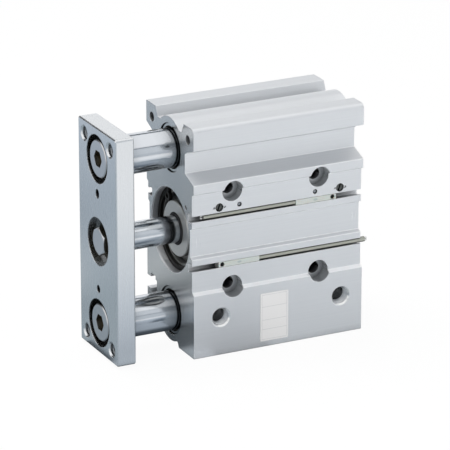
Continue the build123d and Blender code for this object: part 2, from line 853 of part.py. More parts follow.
# Hexagon bolt in the middle: it pulls the plate onto the piston rod
centre_head_front = recess_floor - centre_bolt_head_height
with BuildPart() as centre_bolt:
    with BuildSketch(across(centre_head_front)):
        RegularPolygon(centre_bolt_flats / 2, 6, major_radius=False, rotation=30)
    extrude(amount=centre_bolt_head_height)
    with BuildSketch(along()):
        Polygon(
            (centre_head_front, centre_bolt_flats / 2 - 0.2),
            (centre_head_front, centre_bolt_flats),
            (centre_head_front + centre_bolt_flats / 4, centre_bolt_flats),
        )
    revolve(axis=rod_axis(), mode=Mode.SUBTRACT)
    with BuildSketch(along()):
        band(recess_floor, plate_back + centre_bolt_reach, 0, centre_bolt_thread / 2)
        rim(plate_back + centre_bolt_reach, centre_bolt_thread / 2, head_rim)
    revolve(axis=rod_axis())
centre_bolt.part.label = "centre_bolt"
export_step(centre_bolt.part, "parts/centre_bolt.step")


# Guide rods with their bushes, felt rings and the holders that keep the felts in
felt_start = holder_start + holder_length
guide_end = plate_back + guide_rod_length
rod_hole_end = plate_back + rod_bolt_reach + tap_runout
for place, level in (("upper", guide_height), ("lower", -guide_height)):
    with BuildPart() as guide_rod:
        with BuildSketch(along(level)):
            band(plate_back, guide_end, 0, guide_radius)
            rim(plate_back, guide_radius, -rod_end_chamfer / 2)
            rim(guide_end, guide_radius, rod_end_chamfer)
            band(plate_back, rod_hole_end, 0, rod_bolt_thread / 2 + seat_gap, Mode.SUBTRACT)
        revolve(axis=rod_axis(level))
    guide_rod.part.label = f"{place}_guide_rod"
    export_step(guide_rod.part, f"parts/{place}_guide_rod.step")

    for end, start, length in (
        ("front", front_bush_start, front_bush_length),
        ("rear", rear_bush_end - rear_bush_length, rear_bush_length),
    ):
        with BuildPart() as bush:
            with BuildSketch(along(level)):
                band(start, start + length, guide_radius + running_gap, bush_radius - seat_gap)
            revolve(axis=rod_axis(level))
            chamfer(bush.edges().filter_by(GeomType.CIRCLE), 0.4)
        bush.part.label = f"{place}_{end}_bush"
        export_step(bush.part, f"parts/{place}_{end}_bush.step")

    with BuildPart() as felt_ring:
        with BuildSketch(along(level)):
            band(felt_start, front_bush_start, guide_radius + running_gap, bush_radius - seat_gap)
        revolve(axis=rod_axis(level))
    felt_ring.part.label = f"{place}_felt_ring"
    export_step(felt_ring.part, f"parts/{place}_felt_ring.step")

    with BuildPart() as felt_holder:
        with BuildSketch(along(level)):
            band(holder_start, felt_start, guide_radius + holder_gap, bush_radius - seat_gap)
            rim(holder_start, bush_radius - seat_gap, -0.4)
        revolve(axis=rod_axis(level))
    felt_holder.part.label = f"{place}_felt_holder"
    export_step(felt_holder.part, f"parts/{place}_felt_holder.step")


# Cushion needles: adjusting screws that throttle the air let out of the cushions. Each
# has a slotted head, a groove with a small O-ring and a cone that reaches into its seat.
needle_radius = needle_hole_radius - running_gap
needle_top = step_y + needle_sink
needle_shoulder = needle_top + needle_length
ring_start = needle_top + needle_length / 2
needle_groove_width = needle_ring_section + 2 * seal_play
needle_ring_middle = needle_hole_radius - needle_ring_section / 2
for place, x in (("front", front_port_x), ("rear", rear_port_x)):
    needle_plane = Plane(origin=(front_x + x, 0, needle_height), x_dir=(0, 1, 0), z_dir=(-1, 0, 0))
    needle_axis = Axis((front_x + x, 0, needle_height), (0, 1, 0))
    with BuildPart() as needle:
        with BuildSketch(needle_plane):
            band(needle_top, needle_shoulder, 0, needle_radius)
            rim(needle_top, needle_radius, -0.3)
            Polygon(
                (needle_shoulder, 0),
                (needle_shoulder, needle_seat_diameter / 2 + 0.4),
                (needle_shoulder + needle_tip_length, 0.25),
                (needle_shoulder + needle_tip_length, 0),
            )
            band(
                ring_start,
                ring_start + needle_groove_width,
                needle_radius - needle_ring_section + running_gap,
                needle_hole_radius,
                Mode.SUBTRACT,
            )
        revolve(axis=needle_axis)
        with BuildSketch(Plane(origin=(front_x + x, needle_top, needle_height), z_dir=mounting)):
            Rectangle(2 * needle_hole_diameter, needle_slot, rotation=20)
        extrude(amount=needle_slot_depth, mode=Mode.SUBTRACT)
    needle.part.label = f"{place}_needle"
    export_step(needle.part, f"parts/{place}_needle.step")

    with BuildPart() as needle_o_ring:
        with BuildSketch(needle_plane):
            with Locations((ring_start + needle_groove_width / 2, needle_ring_middle)):
                Circle(needle_ring_section / 2 - seat_gap)
        revolve(axis=needle_axis)
    needle_o_ring.part.label = f"{place}_needle_o_ring"
    export_step(needle_o_ring.part, f"parts/{place}_needle_o_ring.step")


# Position switches, slid into the sensor grooves and clamped by a set screw each. The
# lead lies in the groove behind its switch, and its end is bare.
upper_lead_span = (lead_front_end, upper_switch_x)
lower_lead_span = (lower_switch_x + switch_length, body_length + lead_tail)
upper_screw_x = upper_switch_x + switch_length - switch_screw_inset
lower_screw_x = lower_switch_x + switch_screw_inset
for place, level, start, screw_x, lead_span in (
    ("upper", groove_height, upper_switch_x, upper_screw_x, upper_lead_span),
    ("lower", -groove_height, lower_switch_x, lower_screw_x, lower_lead_span),
):
    with BuildPart() as switch:
        with BuildSketch(across(start)):
            with Locations((-step_face, level)):
                Rectangle(2 * groove_lip, groove_mouth - 2 * switch_gap, align=(Align.MIN, Align.CENTER))
            with Locations((-step_face + groove_lip + groove_depth / 2, level)):
                RectangleRounded(
                    groove_depth - 2 * switch_gap, groove_width - 2 * switch_gap, groove_radius - switch_gap
                )
        extrude(amount=switch_length)
        with Locations(spot(screw_x, step_y, level, ported)):
            Hole(switch_screw_diameter / 2, depth=switch_screw_sink + switch_screw_length)
    switch.part.label = f"{place}_switch"
    export_step(switch.part, f"parts/{place}_switch.step")

    screw_top = step_y + switch_screw_sink
    with BuildPart() as switch_screw:
        with Locations(spot(screw_x, screw_top, level, ported)):
            Cylinder(
                switch_screw_diameter / 2 - seat_gap,
                switch_screw_length,
                align=(Align.CENTER, Align.CENTER, Align.MAX),
            )
        with BuildSketch(Plane(origin=(front_x + screw_x, screw_top, level), z_dir=mounting)):
            Rectangle(switch_screw_diameter, switch_screw_slot)
        extrude(amount=switch_screw_slot_depth, mode=Mode.SUBTRACT)
    switch_screw.part.label = f"{place}_switch_screw"
    export_step(switch_screw.part, f"parts/{place}_switch_screw.step")

    lead_u = -step_face + lead_sink + lead_diameter / 2
    with BuildPart() as lead:
        with BuildSketch(across(lead_span[0])):
            with Locations((lead_u, level)):
                Circle(lead_diameter / 2)
        extrude(amount=lead_span[1] - lead_span[0])
        bare_end = lead_span[0] - core_tail if place == "upper" else lead_span[1]
        with BuildSketch(across(bare_end)):
            with Locations((lead_u, level)), GridLocations(0, core_diameter + core_gap, 1, 2):
                Circle(core_diameter / 2)
        extrude(amount=core_tail)
    lead.part.label = f"{place}_lead"
    export_step(lead.part, f"parts/{place}_lead.step")


# Type plate: a thin foil stuck on the ported side, left blank
with BuildPart() as type_plate:
    with BuildSketch(Plane(origin=(front_x, ported_y, 0), x_dir=(1, 0, 0), z_dir=ported)):
        with Locations((label_x, label_z)):
            RectangleRounded(label_width, label_height, 0.6)
    extrude(amount=label_thickness)
type_plate.part.label = "type_plate"
export_step(type_plate.part, "parts/type_plate.step")
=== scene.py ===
from math import cos, pi, radians, sin

import bmesh
import bpy
from mathutils import Matrix, Vector


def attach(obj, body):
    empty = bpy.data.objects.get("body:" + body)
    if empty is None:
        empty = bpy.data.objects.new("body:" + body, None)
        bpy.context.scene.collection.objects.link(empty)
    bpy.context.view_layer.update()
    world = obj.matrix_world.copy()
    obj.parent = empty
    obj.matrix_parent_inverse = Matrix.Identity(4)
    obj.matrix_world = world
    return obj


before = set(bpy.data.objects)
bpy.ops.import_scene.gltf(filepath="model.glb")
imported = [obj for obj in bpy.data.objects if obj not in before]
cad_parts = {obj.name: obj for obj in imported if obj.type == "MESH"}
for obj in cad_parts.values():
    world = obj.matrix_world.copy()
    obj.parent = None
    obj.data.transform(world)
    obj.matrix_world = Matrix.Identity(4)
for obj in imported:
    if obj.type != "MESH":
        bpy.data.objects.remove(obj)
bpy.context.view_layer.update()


# Camera: it stands a little to the left of the ported side and above it, far off with a
# long lens, so that edges that are parallel on the cylinder stay nearly parallel.
MM = 0.001
collection = bpy.context.scene.collection
picture_pixels = 450
camera_focus_pixels = 3599
camera_azimuth = radians(-26.29)
camera_elevation = radians(20.08)
camera_distance = 1.802
camera_target = Vector((-15.6, -27.0, -2.6)) * MM

camera_data = bpy.data.cameras.new("camera")
camera_data.sensor_width = 36
camera_data.lens = camera_data.sensor_width * camera_focus_pixels / picture_pixels
camera = bpy.data.objects.new("camera", camera_data)
collection.objects.link(camera)
camera_back = Vector((
    sin(camera_azimuth) * cos(camera_elevation),
    -cos(camera_azimuth) * cos(camera_elevation),
    sin(camera_elevation),
))
camera.location = camera_target + camera_back * camera_distance
camera.rotation_euler = camera_back.to_track_quat("Z", "Y").to_euler()
bpy.context.scene.camera = camera


# Cylinder body: one aluminium extrusion, sawn and faced at both ends, bored and drilled,
# then clear anodised. The long sides keep the die's faint lines, the matt grain comes from
# the etching bath, and the faced ends show the cutter's wide arcs. The faced ends are a
# little darker, partly for their cut finish and partly as painted shade.
anodised_tone = "#DADCDE"
anodised_shade = "#D3D5D8"
faced_tone = "#D6D8D8"
highlight_tone = "#F6F7F8"
bare_cut_tone = "#F2F3F3"
ported_side, port_level = -54 * MM, -40 * MM
port_places = (-31 * MM, 36 * MM)
port_mouth_radius = 6.0 * MM

# The real lines, grain and cutter's feed are finer, and are drawn as coarse as they need
# to show. A ring texture of scale 1 repeats every 0.314 m.
die_line_spacing = 0.7 * MM
die_line_length = 120 * MM
etched_grain = 0.35 * MM
cutter_feed = 0.9 * MM
cutter_centre = Vector((0, -20, 70)) * MM
ring_period = 0.314


def linear(code):
    """Linear colour of an sRGB hex value."""
    channels = [int(code[i:i + 2], 16) / 255 for i in (1, 3, 5)]
    return (*[c / 12.92 if c <= 0.04045 else ((c + 0.055) / 1.055) ** 2.4 for c in channels], 1)


def add_node(tree, kind, values=None, links=None, **settings):
    """A node with its settings, the values of its inputs and what is linked to them."""
    made = tree.nodes.new(kind)
    for name, value in settings.items():
        setattr(made, name, value)
    for socket, value in (values or {}).items():
        made.inputs[socket].default_value = value
    for socket, source in (links or {}).items():
        tree.links.new(source, made.inputs[socket])
    return made


def surface(name, tone, metallic, roughness):
    """A new material with its node tree, its shader and its object coordinates."""
    made = bpy.data.materials.new(name)
    made.use_nodes = True
    tree = made.node_tree
    shader = tree.nodes["Principled BSDF"]
    shader.inputs["Base Color"].default_value = linear(tone)
    shader.inputs["Metallic"].default_value = metallic
    shader.inputs["Roughness"].default_value = roughness
    place = add_node(tree, "ShaderNodeTexCoord").outputs
    return made, tree, shader, place


def shade_gaps(tree, shader, tone, reach, dark, closed, wide, kept=None):
    """Painted shade: the tone darkens in deep and narrow places, unless kept."""
    openness = add_node(tree, "ShaderNodeAmbientOcclusion", {"Distance": reach}, samples=8)
    unshaded = add_node(
        tree, "ShaderNodeMapRange",
        {"From Min": closed, "From Max": wide}, {"Value": openness.outputs["AO"]}
    ).outputs["Result"]
    if kept:
        unshaded = add_node(
            tree, "ShaderNodeMath", links={0: unshaded, 1: kept}, operation="MAXIMUM"
        ).outputs["Value"]
    painted_shade = add_node(tree, "ShaderNodeMix", {6: linear(dark)}, {0: unshaded}, data_type="RGBA")
    if isinstance(tone, str):
        painted_shade.inputs[7].default_value = linear(tone)
    else:
        tree.links.new(tone, painted_shade.inputs[7])
    tree.links.new(painted_shade.outputs[2], shader.inputs["Base Color"])


def inside_bores(tree, place, centres, across, radius, axis, depth):
    """1 inside bores on one face: near their axes and past the given depth along them."""
    where = add_node(tree, "ShaderNodeSeparateXYZ", links={"Vector": place["Object"]})
    nearest = None
    for centre in centres:
        offset = add_node(
            tree, "ShaderNodeVectorMath", {1: centre}, {0: place["Object"]}, operation="SUBTRACT"
        )
        flat = add_node(
            tree, "ShaderNodeVectorMath", {1: across}, {0: offset.outputs["Vector"]},
            operation="MULTIPLY",
        )
        distance = add_node(
            tree, "ShaderNodeVectorMath", links={0: flat.outputs["Vector"]}, operation="LENGTH"
        ).outputs["Value"]
        if nearest:
            distance = add_node(
                tree, "ShaderNodeMath", links={0: nearest, 1: distance}, operation="MINIMUM"
            ).outputs["Value"]
        nearest = distance
    near = add_node(
        tree, "ShaderNodeMath", {1: radius}, {0: nearest}, operation="LESS_THAN"
    )
    deep = add_node(
        tree, "ShaderNodeMath", {1: depth}, {0: where.outputs[axis]}, operation="GREATER_THAN"
    )
    return add_node(
        tree, "ShaderNodeMath",
        links={0: near.outputs["Value"], 1: deep.outputs["Value"]}, operation="MULTIPLY",
    ).outputs["Value"]


def dress(material, *names):
    """Gives CAD nodes their material."""
    for name in names:
        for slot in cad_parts[name].material_slots:
            slot.material = material


# Drawn sides: faint die lines along the body change the tone, and the grain dulls it.
drawn_metallic = 0.62
anodised, tree, shader, place = surface(
    "clear_anodised_aluminium", anodised_tone, metallic=drawn_metallic, roughness=0.42
)
along_die = add_node(
    tree, "ShaderNodeMapping",
    {"Scale": (1 / die_line_length, 1 / die_line_spacing, 1 / die_line_spacing)},
    {"Vector": place["Object"]},
)
die_lines = add_node(
    tree, "ShaderNodeTexNoise", {"Scale": 1, "Detail": 2}, {"Vector": along_die.outputs["Vector"]}
)
grain = add_node(
    tree, "ShaderNodeTexNoise", {"Scale": 1 / etched_grain, "Detail": 3}, {"Vector": place["Object"]}
)
drawn_tone = add_node(
    tree, "ShaderNodeMix",
    {6: linear(anodised_shade), 7: linear(anodised_tone)},
    {0: die_lines.outputs["Fac"]}, data_type="RGBA",
)

# Faced ends: a face turned to either end has the cutter's arcs instead of die lines, and a slightly
# darker tone that is partly painted shade.
drawn_below, faced_above = 0.93, 0.98
from_cutter = add_node(
    tree, "ShaderNodeMapping", {"Location": -cutter_centre}, {"Vector": place["Object"]}
)
cutter_arcs = add_node(
    tree, "ShaderNodeTexWave",
    {"Scale": ring_period / cutter_feed, "Distortion": 0.6, "Detail": 1},
    {"Vector": from_cutter.outputs["Vector"]},
    wave_type="RINGS", rings_direction="X",
)
facing = add_node(tree, "ShaderNodeSeparateXYZ", links={"Vector": place["Normal"]})
toward_end = add_node(
    tree, "ShaderNodeMath", links={0: facing.outputs["X"]}, operation="ABSOLUTE"
)
faced = add_node(
    tree, "ShaderNodeMapRange",
    {"From Min": drawn_below, "From Max": faced_above}, {"Value": toward_end.outputs["Value"]}
)
tone = add_node(
    tree, "ShaderNodeMix",
    {7: linear(faced_tone)},
    {0: faced.outputs["Result"], 6: drawn_tone.outputs[2]}, data_type="RGBA",
)

# Corners are slightly round, and where the soft normal leaves the face's own a lighter tone is mixed
# in: a painted highlight.
corner_softness = 0.5 * MM
flat_turn, highlight_turn = 0.998, 0.95
soft_corner = add_node(tree, "ShaderNodeBevel", {"Radius": corner_softness}, samples=4)
surface_plane = add_node(tree, "ShaderNodeNewGeometry")
turned_away = add_node(
    tree, "ShaderNodeVectorMath",
    links={0: soft_corner.outputs["Normal"], 1: surface_plane.outputs["True Normal"]},
    operation="DOT_PRODUCT",
)
edge_highlight = add_node(
    tree, "ShaderNodeMapRange",
    {"From Min": flat_turn, "From Max": highlight_turn}, {"Value": turned_away.outputs["Value"]}
)

# The slopes below the top blocks, which face up and out at once, get the same lighter tone, as a
# painted highlight.
slope_none, slope_full = -0.37, -0.40
block_foot = 40 * MM
slope_side = add_node(
    tree, "ShaderNodeMath",
    links={0: facing.outputs["Y"], 1: facing.outputs["Z"]}, operation="MULTIPLY",
)
slope = add_node(
    tree, "ShaderNodeMapRange",
    {"From Min": slope_none, "From Max": slope_full}, {"Value": slope_side.outputs["Value"]}
)
where = add_node(tree, "ShaderNodeSeparateXYZ", links={"Vector": place["Object"]})
below_blocks = add_node(
    tree, "ShaderNodeMath", {1: block_foot}, {0: where.outputs["Z"]}, operation="LESS_THAN"
)
step_slope = add_node(
    tree, "ShaderNodeMath",
    links={0: slope.outputs["Result"], 1: below_blocks.outputs["Value"]}, operation="MULTIPLY",
)
painted_highlight = add_node(
    tree, "ShaderNodeMath",
    links={0: edge_highlight.outputs["Result"], 1: step_slope.outputs["Value"]}, operation="MAXIMUM",
)
tone = add_node(
    tree, "ShaderNodeMix",
    {7: linear(highlight_tone)}, {0: painted_highlight.outputs["Value"], 6: tone.outputs[2]}, data_type="RGBA",
)

# The ports' bores and threads are bare cut metal, which is brighter.
bare_depth = 0.05 * MM
port_axes = [(x, ported_side, port_level) for x in port_places]
tapped = inside_bores(
    tree, place, port_axes, (1, 0, 1), port_mouth_radius, "Y", ported_side + bare_depth
)
tone = add_node(
    tree, "ShaderNodeMix",
    {7: linear(bare_cut_tone)}, {0: tapped, 6: tone.outputs[2]}, data_type="RGBA",
)

# Deep places get painted shade, which is lifted again on the switch grooves' walls near their ends,
# as painted light.
groove_level, groove_half_width = 13 * MM, 2.6 * MM
groove_floor, wall_rise = -44 * MM, 0.5 * MM
lit_from, lit_full, lit_share = 30 * MM, 46 * MM, 0.8
height = add_node(tree, "ShaderNodeMath", links={0: where.outputs["Z"]}, operation="ABSOLUTE")
in_groove = add_node(
    tree, "ShaderNodeMath",
    {1: groove_level, 2: groove_half_width}, {0: height.outputs["Value"]}, operation="COMPARE",
)
along_groove = add_node(tree, "ShaderNodeMath", links={0: where.outputs["X"]}, operation="ABSOLUTE")
near_mouth = add_node(
    tree, "ShaderNodeMapRange",
    {"From Min": lit_from, "From Max": lit_full, "To Max": lit_share},
    {"Value": along_groove.outputs["Value"]},
)
near_side = add_node(
    tree, "ShaderNodeMapRange",
    {"From Min": groove_floor, "From Max": groove_floor - wall_rise}, {"Value": where.outputs["Y"]}
)
open_level = add_node(
    tree, "ShaderNodeMath",
    links={0: in_groove.outputs["Value"], 1: near_mouth.outputs["Result"]}, operation="MULTIPLY",
)
lit_groove_ends = add_node(
    tree, "ShaderNodeMath",
    links={0: open_level.outputs["Value"], 1: near_side.outputs["Result"]}, operation="MULTIPLY",
)
shade_gaps(
    tree, shader, tone.outputs[2], reach=8 * MM, dark="#0E100F", closed=0.15, wide=0.62,
    kept=lit_groove_ends.outputs["Value"],
)

# Cut metal is smoother and mirrors more than the etched sides: first the ends, then the ports.
smooth_side, rough_side = 0.36, 0.50
faced_roughness, cut_roughness = 0.26, 0.24
faced_metallic, cut_metallic = 0.88, 0.9
side_rough = add_node(
    tree, "ShaderNodeMapRange",
    {"To Min": smooth_side, "To Max": rough_side}, {"Value": grain.outputs["Fac"]}
)
end_rough = add_node(
    tree, "ShaderNodeMix", {3: faced_roughness},
    {0: faced.outputs["Result"], 2: side_rough.outputs["Result"]},
)
body_rough = add_node(
    tree, "ShaderNodeMix", {3: cut_roughness}, {0: tapped, 2: end_rough.outputs[0]}
)
tree.links.new(body_rough.outputs[0], shader.inputs["Roughness"])
end_metallic = add_node(
    tree, "ShaderNodeMapRange",
    {"To Min": drawn_metallic, "To Max": faced_metallic}, {"Value": faced.outputs["Result"]}
)
port_metallic = add_node(
    tree, "ShaderNodeMath", {1: cut_metallic}, {0: tapped}, operation="MULTIPLY"
)
body_metallic = add_node(
    tree, "ShaderNodeMath",
    links={0: end_metallic.outputs["Result"], 1: port_metallic.outputs["Value"]},
    operation="MAXIMUM",
)
tree.links.new(body_metallic.outputs["Value"], shader.inputs["Metallic"])

# Lines and arcs are shallow, and the etched grain lies over both.
faint_low, faint_high = 0.35, 0.65
faint_arcs = add_node(
    tree, "ShaderNodeMapRange",
    {"To Min": faint_low, "To Max": faint_high}, {"Value": cutter_arcs.outputs["Fac"]}
)
relief = add_node(
    tree, "ShaderNodeMix",
    links={0: faced.outputs["Result"], 2: die_lines.outputs["Fac"], 3: faint_arcs.outputs["Result"]},
)
lines_bump = add_node(
    tree, "ShaderNodeBump",
    {"Strength": 0.06, "Distance": 0.02 * MM},
    {"Height": relief.outputs[0], "Normal": soft_corner.outputs["Normal"]},
)
grain_bump = add_node(
    tree, "ShaderNodeBump",
    {"Strength": 0.35, "Distance": 0.015 * MM},
    {"Height": grain.outputs["Fac"], "Normal": lines_bump.outputs["Normal"]},
)
tree.links.new(grain_bump.outputs["Normal"], shader.inputs["Normal"])
dress(anodised, "cylinder_body")


# Tapped threads: in the ports, at the mounting side, in the rear end and at the plate's
# corners. Each is one ridge of the cut, a triangle drawn down its hole in a spiral. Cut
# aluminium is bright, the plate's plated steel is greyer, and both get painted shade with depth.
mounting_side = 0.0
body_rear = 48 * MM
rod_axis_y = -27 * MM
plate_front = -85.4 * MM
port_core, port_pitch = 4.3 * MM, 0.907 * MM
screw_core, screw_pitch = 3.4 * MM, 1.25 * MM
mouth_bevel = 1.0 * MM
thread_steps = 24
wall_overlap = 0.02 * MM

# The ridge's width and height are shares of its pitch.
ridge_width, ridge_height = 0.9, 0.42


def mottled(name, low, high, grain, metallic, smooth, rough, bump=0.0, depth=0.0):
    """A material whose tone and roughness drift between two limits over the given grain."""
    made, tree, shader, place = surface(name, high, metallic, smooth)
    drift = add_node(
        tree, "ShaderNodeTexNoise", {"Scale": 1 / grain, "Detail": 3}, {"Vector": place["Object"]}
    )
    tone = add_node(
        tree, "ShaderNodeMix",
        {6: linear(low), 7: linear(high)}, {0: drift.outputs["Fac"]}, data_type="RGBA",
    )
    tree.links.new(tone.outputs[2], shader.inputs["Base Color"])
    polish = add_node(
        tree, "ShaderNodeMapRange",
        {"To Min": smooth, "To Max": rough}, {"Value": drift.outputs["Fac"]}
    )
    tree.links.new(polish.outputs["Result"], shader.inputs["Roughness"])
    if bump:
        relief = add_node(
            tree, "ShaderNodeBump",
            {"Strength": bump, "Distance": depth}, {"Height": drift.outputs["Fac"]}
        )
        tree.links.new(relief.outputs["Normal"], shader.inputs["Normal"])
    return made, tree, shader, place, tone.outputs[2]


def finished_piece(name, mesh, material):
    """The finished mesh as an object of the scene, in its material."""
    data = bpy.data.meshes.new(name)
    mesh.to_mesh(data)
    mesh.free()
    data.materials.append(material)
    piece = bpy.data.objects.new(name, data)
    collection.objects.link(piece)
    return piece


def tapped_thread(name, mouth, inward, core, pitch, length, material, body):
    """The ridge of a tapped hole's thread, from the mouth's bevel to the given depth."""
    inward = Vector(inward)
    across = inward.orthogonal().normalized()
    top = Vector(mouth) + inward * mouth_bevel
    mesh = bmesh.new()
    wall = across * (core + wall_overlap)
    crest = across * (core - ridge_height * pitch)
    corners = (
        top + wall,
        top + crest + inward * ridge_width / 2 * pitch,
        top + wall + inward * ridge_width * pitch,
    )
    mesh.faces.new([mesh.verts.new(corner) for corner in corners])
    turns = int(length / pitch) - 1
    bmesh.ops.spin(
        mesh, geom=[*mesh.verts, *mesh.edges, *mesh.faces], cent=top, axis=inward,
        dvec=inward * pitch / thread_steps, angle=2 * pi * turns, steps=turns * thread_steps,
    )
    bmesh.ops.holes_fill(mesh, edges=[e for e in mesh.edges if e.is_boundary])
    bmesh.ops.recalc_face_normals(mesh, faces=mesh.faces)
    piece = finished_piece(name, mesh, material)
    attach(piece, body)


def hole_corners(half_width, half_height):
    """The places of four holes round their middle, numbered from 1."""
    sides = (-half_width, half_width)
    return enumerate([(a, b) for a in sides for b in (-half_height, half_height)], 1)


bright_cut, tree, shader, _, tone = mottled(
    "cut_aluminium_thread", "#C6C9CC", "#DCDEE0",
    grain=0.4 * MM, metallic=0.75, smooth=0.25, rough=0.42,
)
shade_gaps(tree, shader, tone, reach=4 * MM, dark="#151716", closed=0.0, wide=0.34)
plated_cut, tree, shader, _, tone = mottled(
    "plated_steel_thread", "#7F8387", "#95999D",
    grain=0.8 * MM, metallic=0.9, smooth=0.20, rough=0.30,
)
shade_gaps(tree, shader, tone, reach=4 * MM, dark="#17180F", closed=0.30, wide=0.90)

for end, x in zip(("front", "rear"), port_places):
    tapped_thread(
        f"{end}_port_thread", (x, ported_side, port_level), (0, 1, 0),
        port_core, port_pitch, length=6.2 * MM,
        material=bright_cut, body="body",
    )
for number, (x, z) in hole_corners(24 * MM, 25 * MM):
    tapped_thread(
        f"mounting_thread_{number}", (x, mounting_side, z), (0, -1, 0),
        screw_core, screw_pitch, length=14 * MM,
        material=bright_cut, body="body",
    )
for number, (y, z) in hole_corners(20.5 * MM, 53 * MM):
    tapped_thread(
        f"rear_thread_{number}", (body_rear, rod_axis_y + y, z), (-1, 0, 0),
        screw_core, screw_pitch, length=18 * MM,
        material=bright_cut, body="body",
    )
for number, (y, z) in hole_corners(15 * MM, 52 * MM):
    tapped_thread(
        f"plate_thread_{number}", (plate_front, rod_axis_y + y, z), (1, 0, 0),
        screw_core, screw_pitch, length=8.6 * MM,
        material=plated_cut, body="carriage",
    )


# Rod cover and head cover: turned from aluminium bar and anodised. The lathe leaves fine
# rings round the rod's axis, drawn coarser here so that they show. The piston and the
# front cushion ring are made alike.
turned_tone = "#C9C9C6"
turning_feed = 0.7 * MM
smooth_ring, rough_ring = 0.30, 0.42
turned_corner_radius = 0.2 * MM

turned, tree, shader, place = surface(
    "turned_aluminium", turned_tone, metallic=0.75, roughness=0.36
)
from_axis = add_node(
    tree, "ShaderNodeMapping", {"Location": (0, -rod_axis_y, 0)}, {"Vector": place["Object"]}
)
turning_rings = add_node(
    tree, "ShaderNodeTexWave",
    {"Scale": ring_period / turning_feed, "Distortion": 0.4, "Detail": 1},
    {"Vector": from_axis.outputs["Vector"]},
    wave_type="RINGS", rings_direction="X",
)
turned_rough = add_node(
    tree, "ShaderNodeMapRange",
    {"To Min": smooth_ring, "To Max": rough_ring}, {"Value": turning_rings.outputs["Fac"]}
)
tree.links.new(turned_rough.outputs["Result"], shader.inputs["Roughness"])
turned_corner = add_node(tree, "ShaderNodeBevel", {"Radius": turned_corner_radius}, samples=4)
turned_bump = add_node(
    tree, "ShaderNodeBump",
    {"Strength": 0.3, "Distance": 0.02 * MM},
    {"Height": turning_rings.outputs["Fac"], "Normal": turned_corner.outputs["Normal"]},
)
tree.links.new(turned_bump.outputs["Normal"], shader.inputs["Normal"])
# Deep and narrow places on the turned parts get painted shade.
shade_gaps(tree, shader, turned_tone, reach=6 * MM, dark="#0D0E0C", closed=0.20, wide=0.60)
dress(turned, "rod_cover", "head_cover", "piston", "front_cushion_ring")


# Retaining rings: stamped from spring steel and phosphated, so they are dark, dull and
# a little mottled.
phosphated, *_ = mottled(
    "phosphated_spring_steel", "#1F1E1B", "#35332E",
    grain=0.6 * MM, metallic=0.7, smooth=0.40, rough=0.50,
)
dress(phosphated, "rod_cover_ring", "head_cover_ring")


# Guide rods and piston rod: carbon steel, hard chromed and ground, near mirrors with a
# painted shade where they go into the plate and the body. The grinding wheel leaves rings
# round the rod, drawn coarser here, of which only a faint haze shows.
grinding_feed = 0.5 * MM
ring_stretch = 0.5
chrome_tone = "#DDE1E6"
smooth_chrome, hazy_chrome = 0.10, 0.18

chrome, tree, shader, place = surface("hard_chrome", chrome_tone, metallic=1.0, roughness=0.14)
shade_gaps(tree, shader, chrome_tone, reach=12 * MM, dark="#1A222B", closed=0.30, wide=0.94)
round_rod = add_node(
    tree, "ShaderNodeMapping",
    {"Scale": (1 / grinding_feed, 1 / ring_stretch, 1 / ring_stretch)}, {"Vector": place["Object"]}
)
ground_rings = add_node(
    tree, "ShaderNodeTexNoise", {"Scale": 1, "Detail": 4}, {"Vector": round_rod.outputs["Vector"]}
)
ground_rough = add_node(
    tree, "ShaderNodeMapRange",
    {"To Min": smooth_chrome, "To Max": hazy_chrome}, {"Value": ground_rings.outputs["Fac"]}
)
tree.links.new(ground_rough.outputs["Result"], shader.inputs["Roughness"])
ground_bump = add_node(
    tree, "ShaderNodeBump",
    {"Strength": 0.05, "Distance": 0.01 * MM}, {"Height": ground_rings.outputs["Fac"]}
)
tree.links.new(ground_bump.outputs["Normal"], shader.inputs["Normal"])
dress(chrome, "upper_guide_rod", "lower_guide_rod", "piston_rod")


# Tool plate: rolled steel, ground on its faces and nickel plated, with a silky shine and
# grinding lines that run along it, drawn coarser so that they show. Its top and bottom
# are plain, and the bolts' recesses are dull and darkened brown as painted shade.
plate_tone = "#ECEEF0"
recess_shade_tone = "#3C3A31"
plate_line_spacing = 0.5 * MM
plate_lines_per_metre = 12
plate_line_strength = 0.006
smooth_plate, rough_plate = 0.262, 0.282
plate_corner_radius = 0.7 * MM
face_below, top_above = 0.90, 0.97
rod_spacing = 43 * MM
recess_radius, recess_depth = 10.6 * MM, 0.4 * MM
recess_roughness = 0.5

nickel, tree, shader, place = surface(
    "nickel_plated_steel", plate_tone, metallic=1.0, roughness=0.27
)
along_plate = add_node(
    tree, "ShaderNodeMapping",
    {"Scale": (1 / plate_line_spacing, 1 / plate_line_spacing, plate_lines_per_metre)},
    {"Vector": place["Object"]},
)
plate_lines = add_node(
    tree, "ShaderNodeTexNoise", {"Scale": 1, "Detail": 3}, {"Vector": along_plate.outputs["Vector"]}
)
plate_rough = add_node(
    tree, "ShaderNodeMapRange",
    {"To Min": smooth_plate, "To Max": rough_plate}, {"Value": plate_lines.outputs["Fac"]}
)
plate_corner = add_node(tree, "ShaderNodeBevel", {"Radius": plate_corner_radius}, samples=4)
plate_facing = add_node(tree, "ShaderNodeSeparateXYZ", links={"Vector": place["Normal"]})
toward_top = add_node(
    tree, "ShaderNodeMath", links={0: plate_facing.outputs["Z"]}, operation="ABSOLUTE"
)
line_strength = add_node(
    tree, "ShaderNodeMapRange",
    {
        "From Min": face_below, "From Max": top_above,
        "To Min": plate_line_strength, "To Max": 0.0,
    },
    {"Value": toward_top.outputs["Value"]},
)
plate_bump = add_node(
    tree, "ShaderNodeBump",
    {"Distance": 0.01 * MM},
    {
        "Strength": line_strength.outputs["Result"],
        "Height": plate_lines.outputs["Fac"],
        "Normal": plate_corner.outputs["Normal"],
    },
)
tree.links.new(plate_bump.outputs["Normal"], shader.inputs["Normal"])
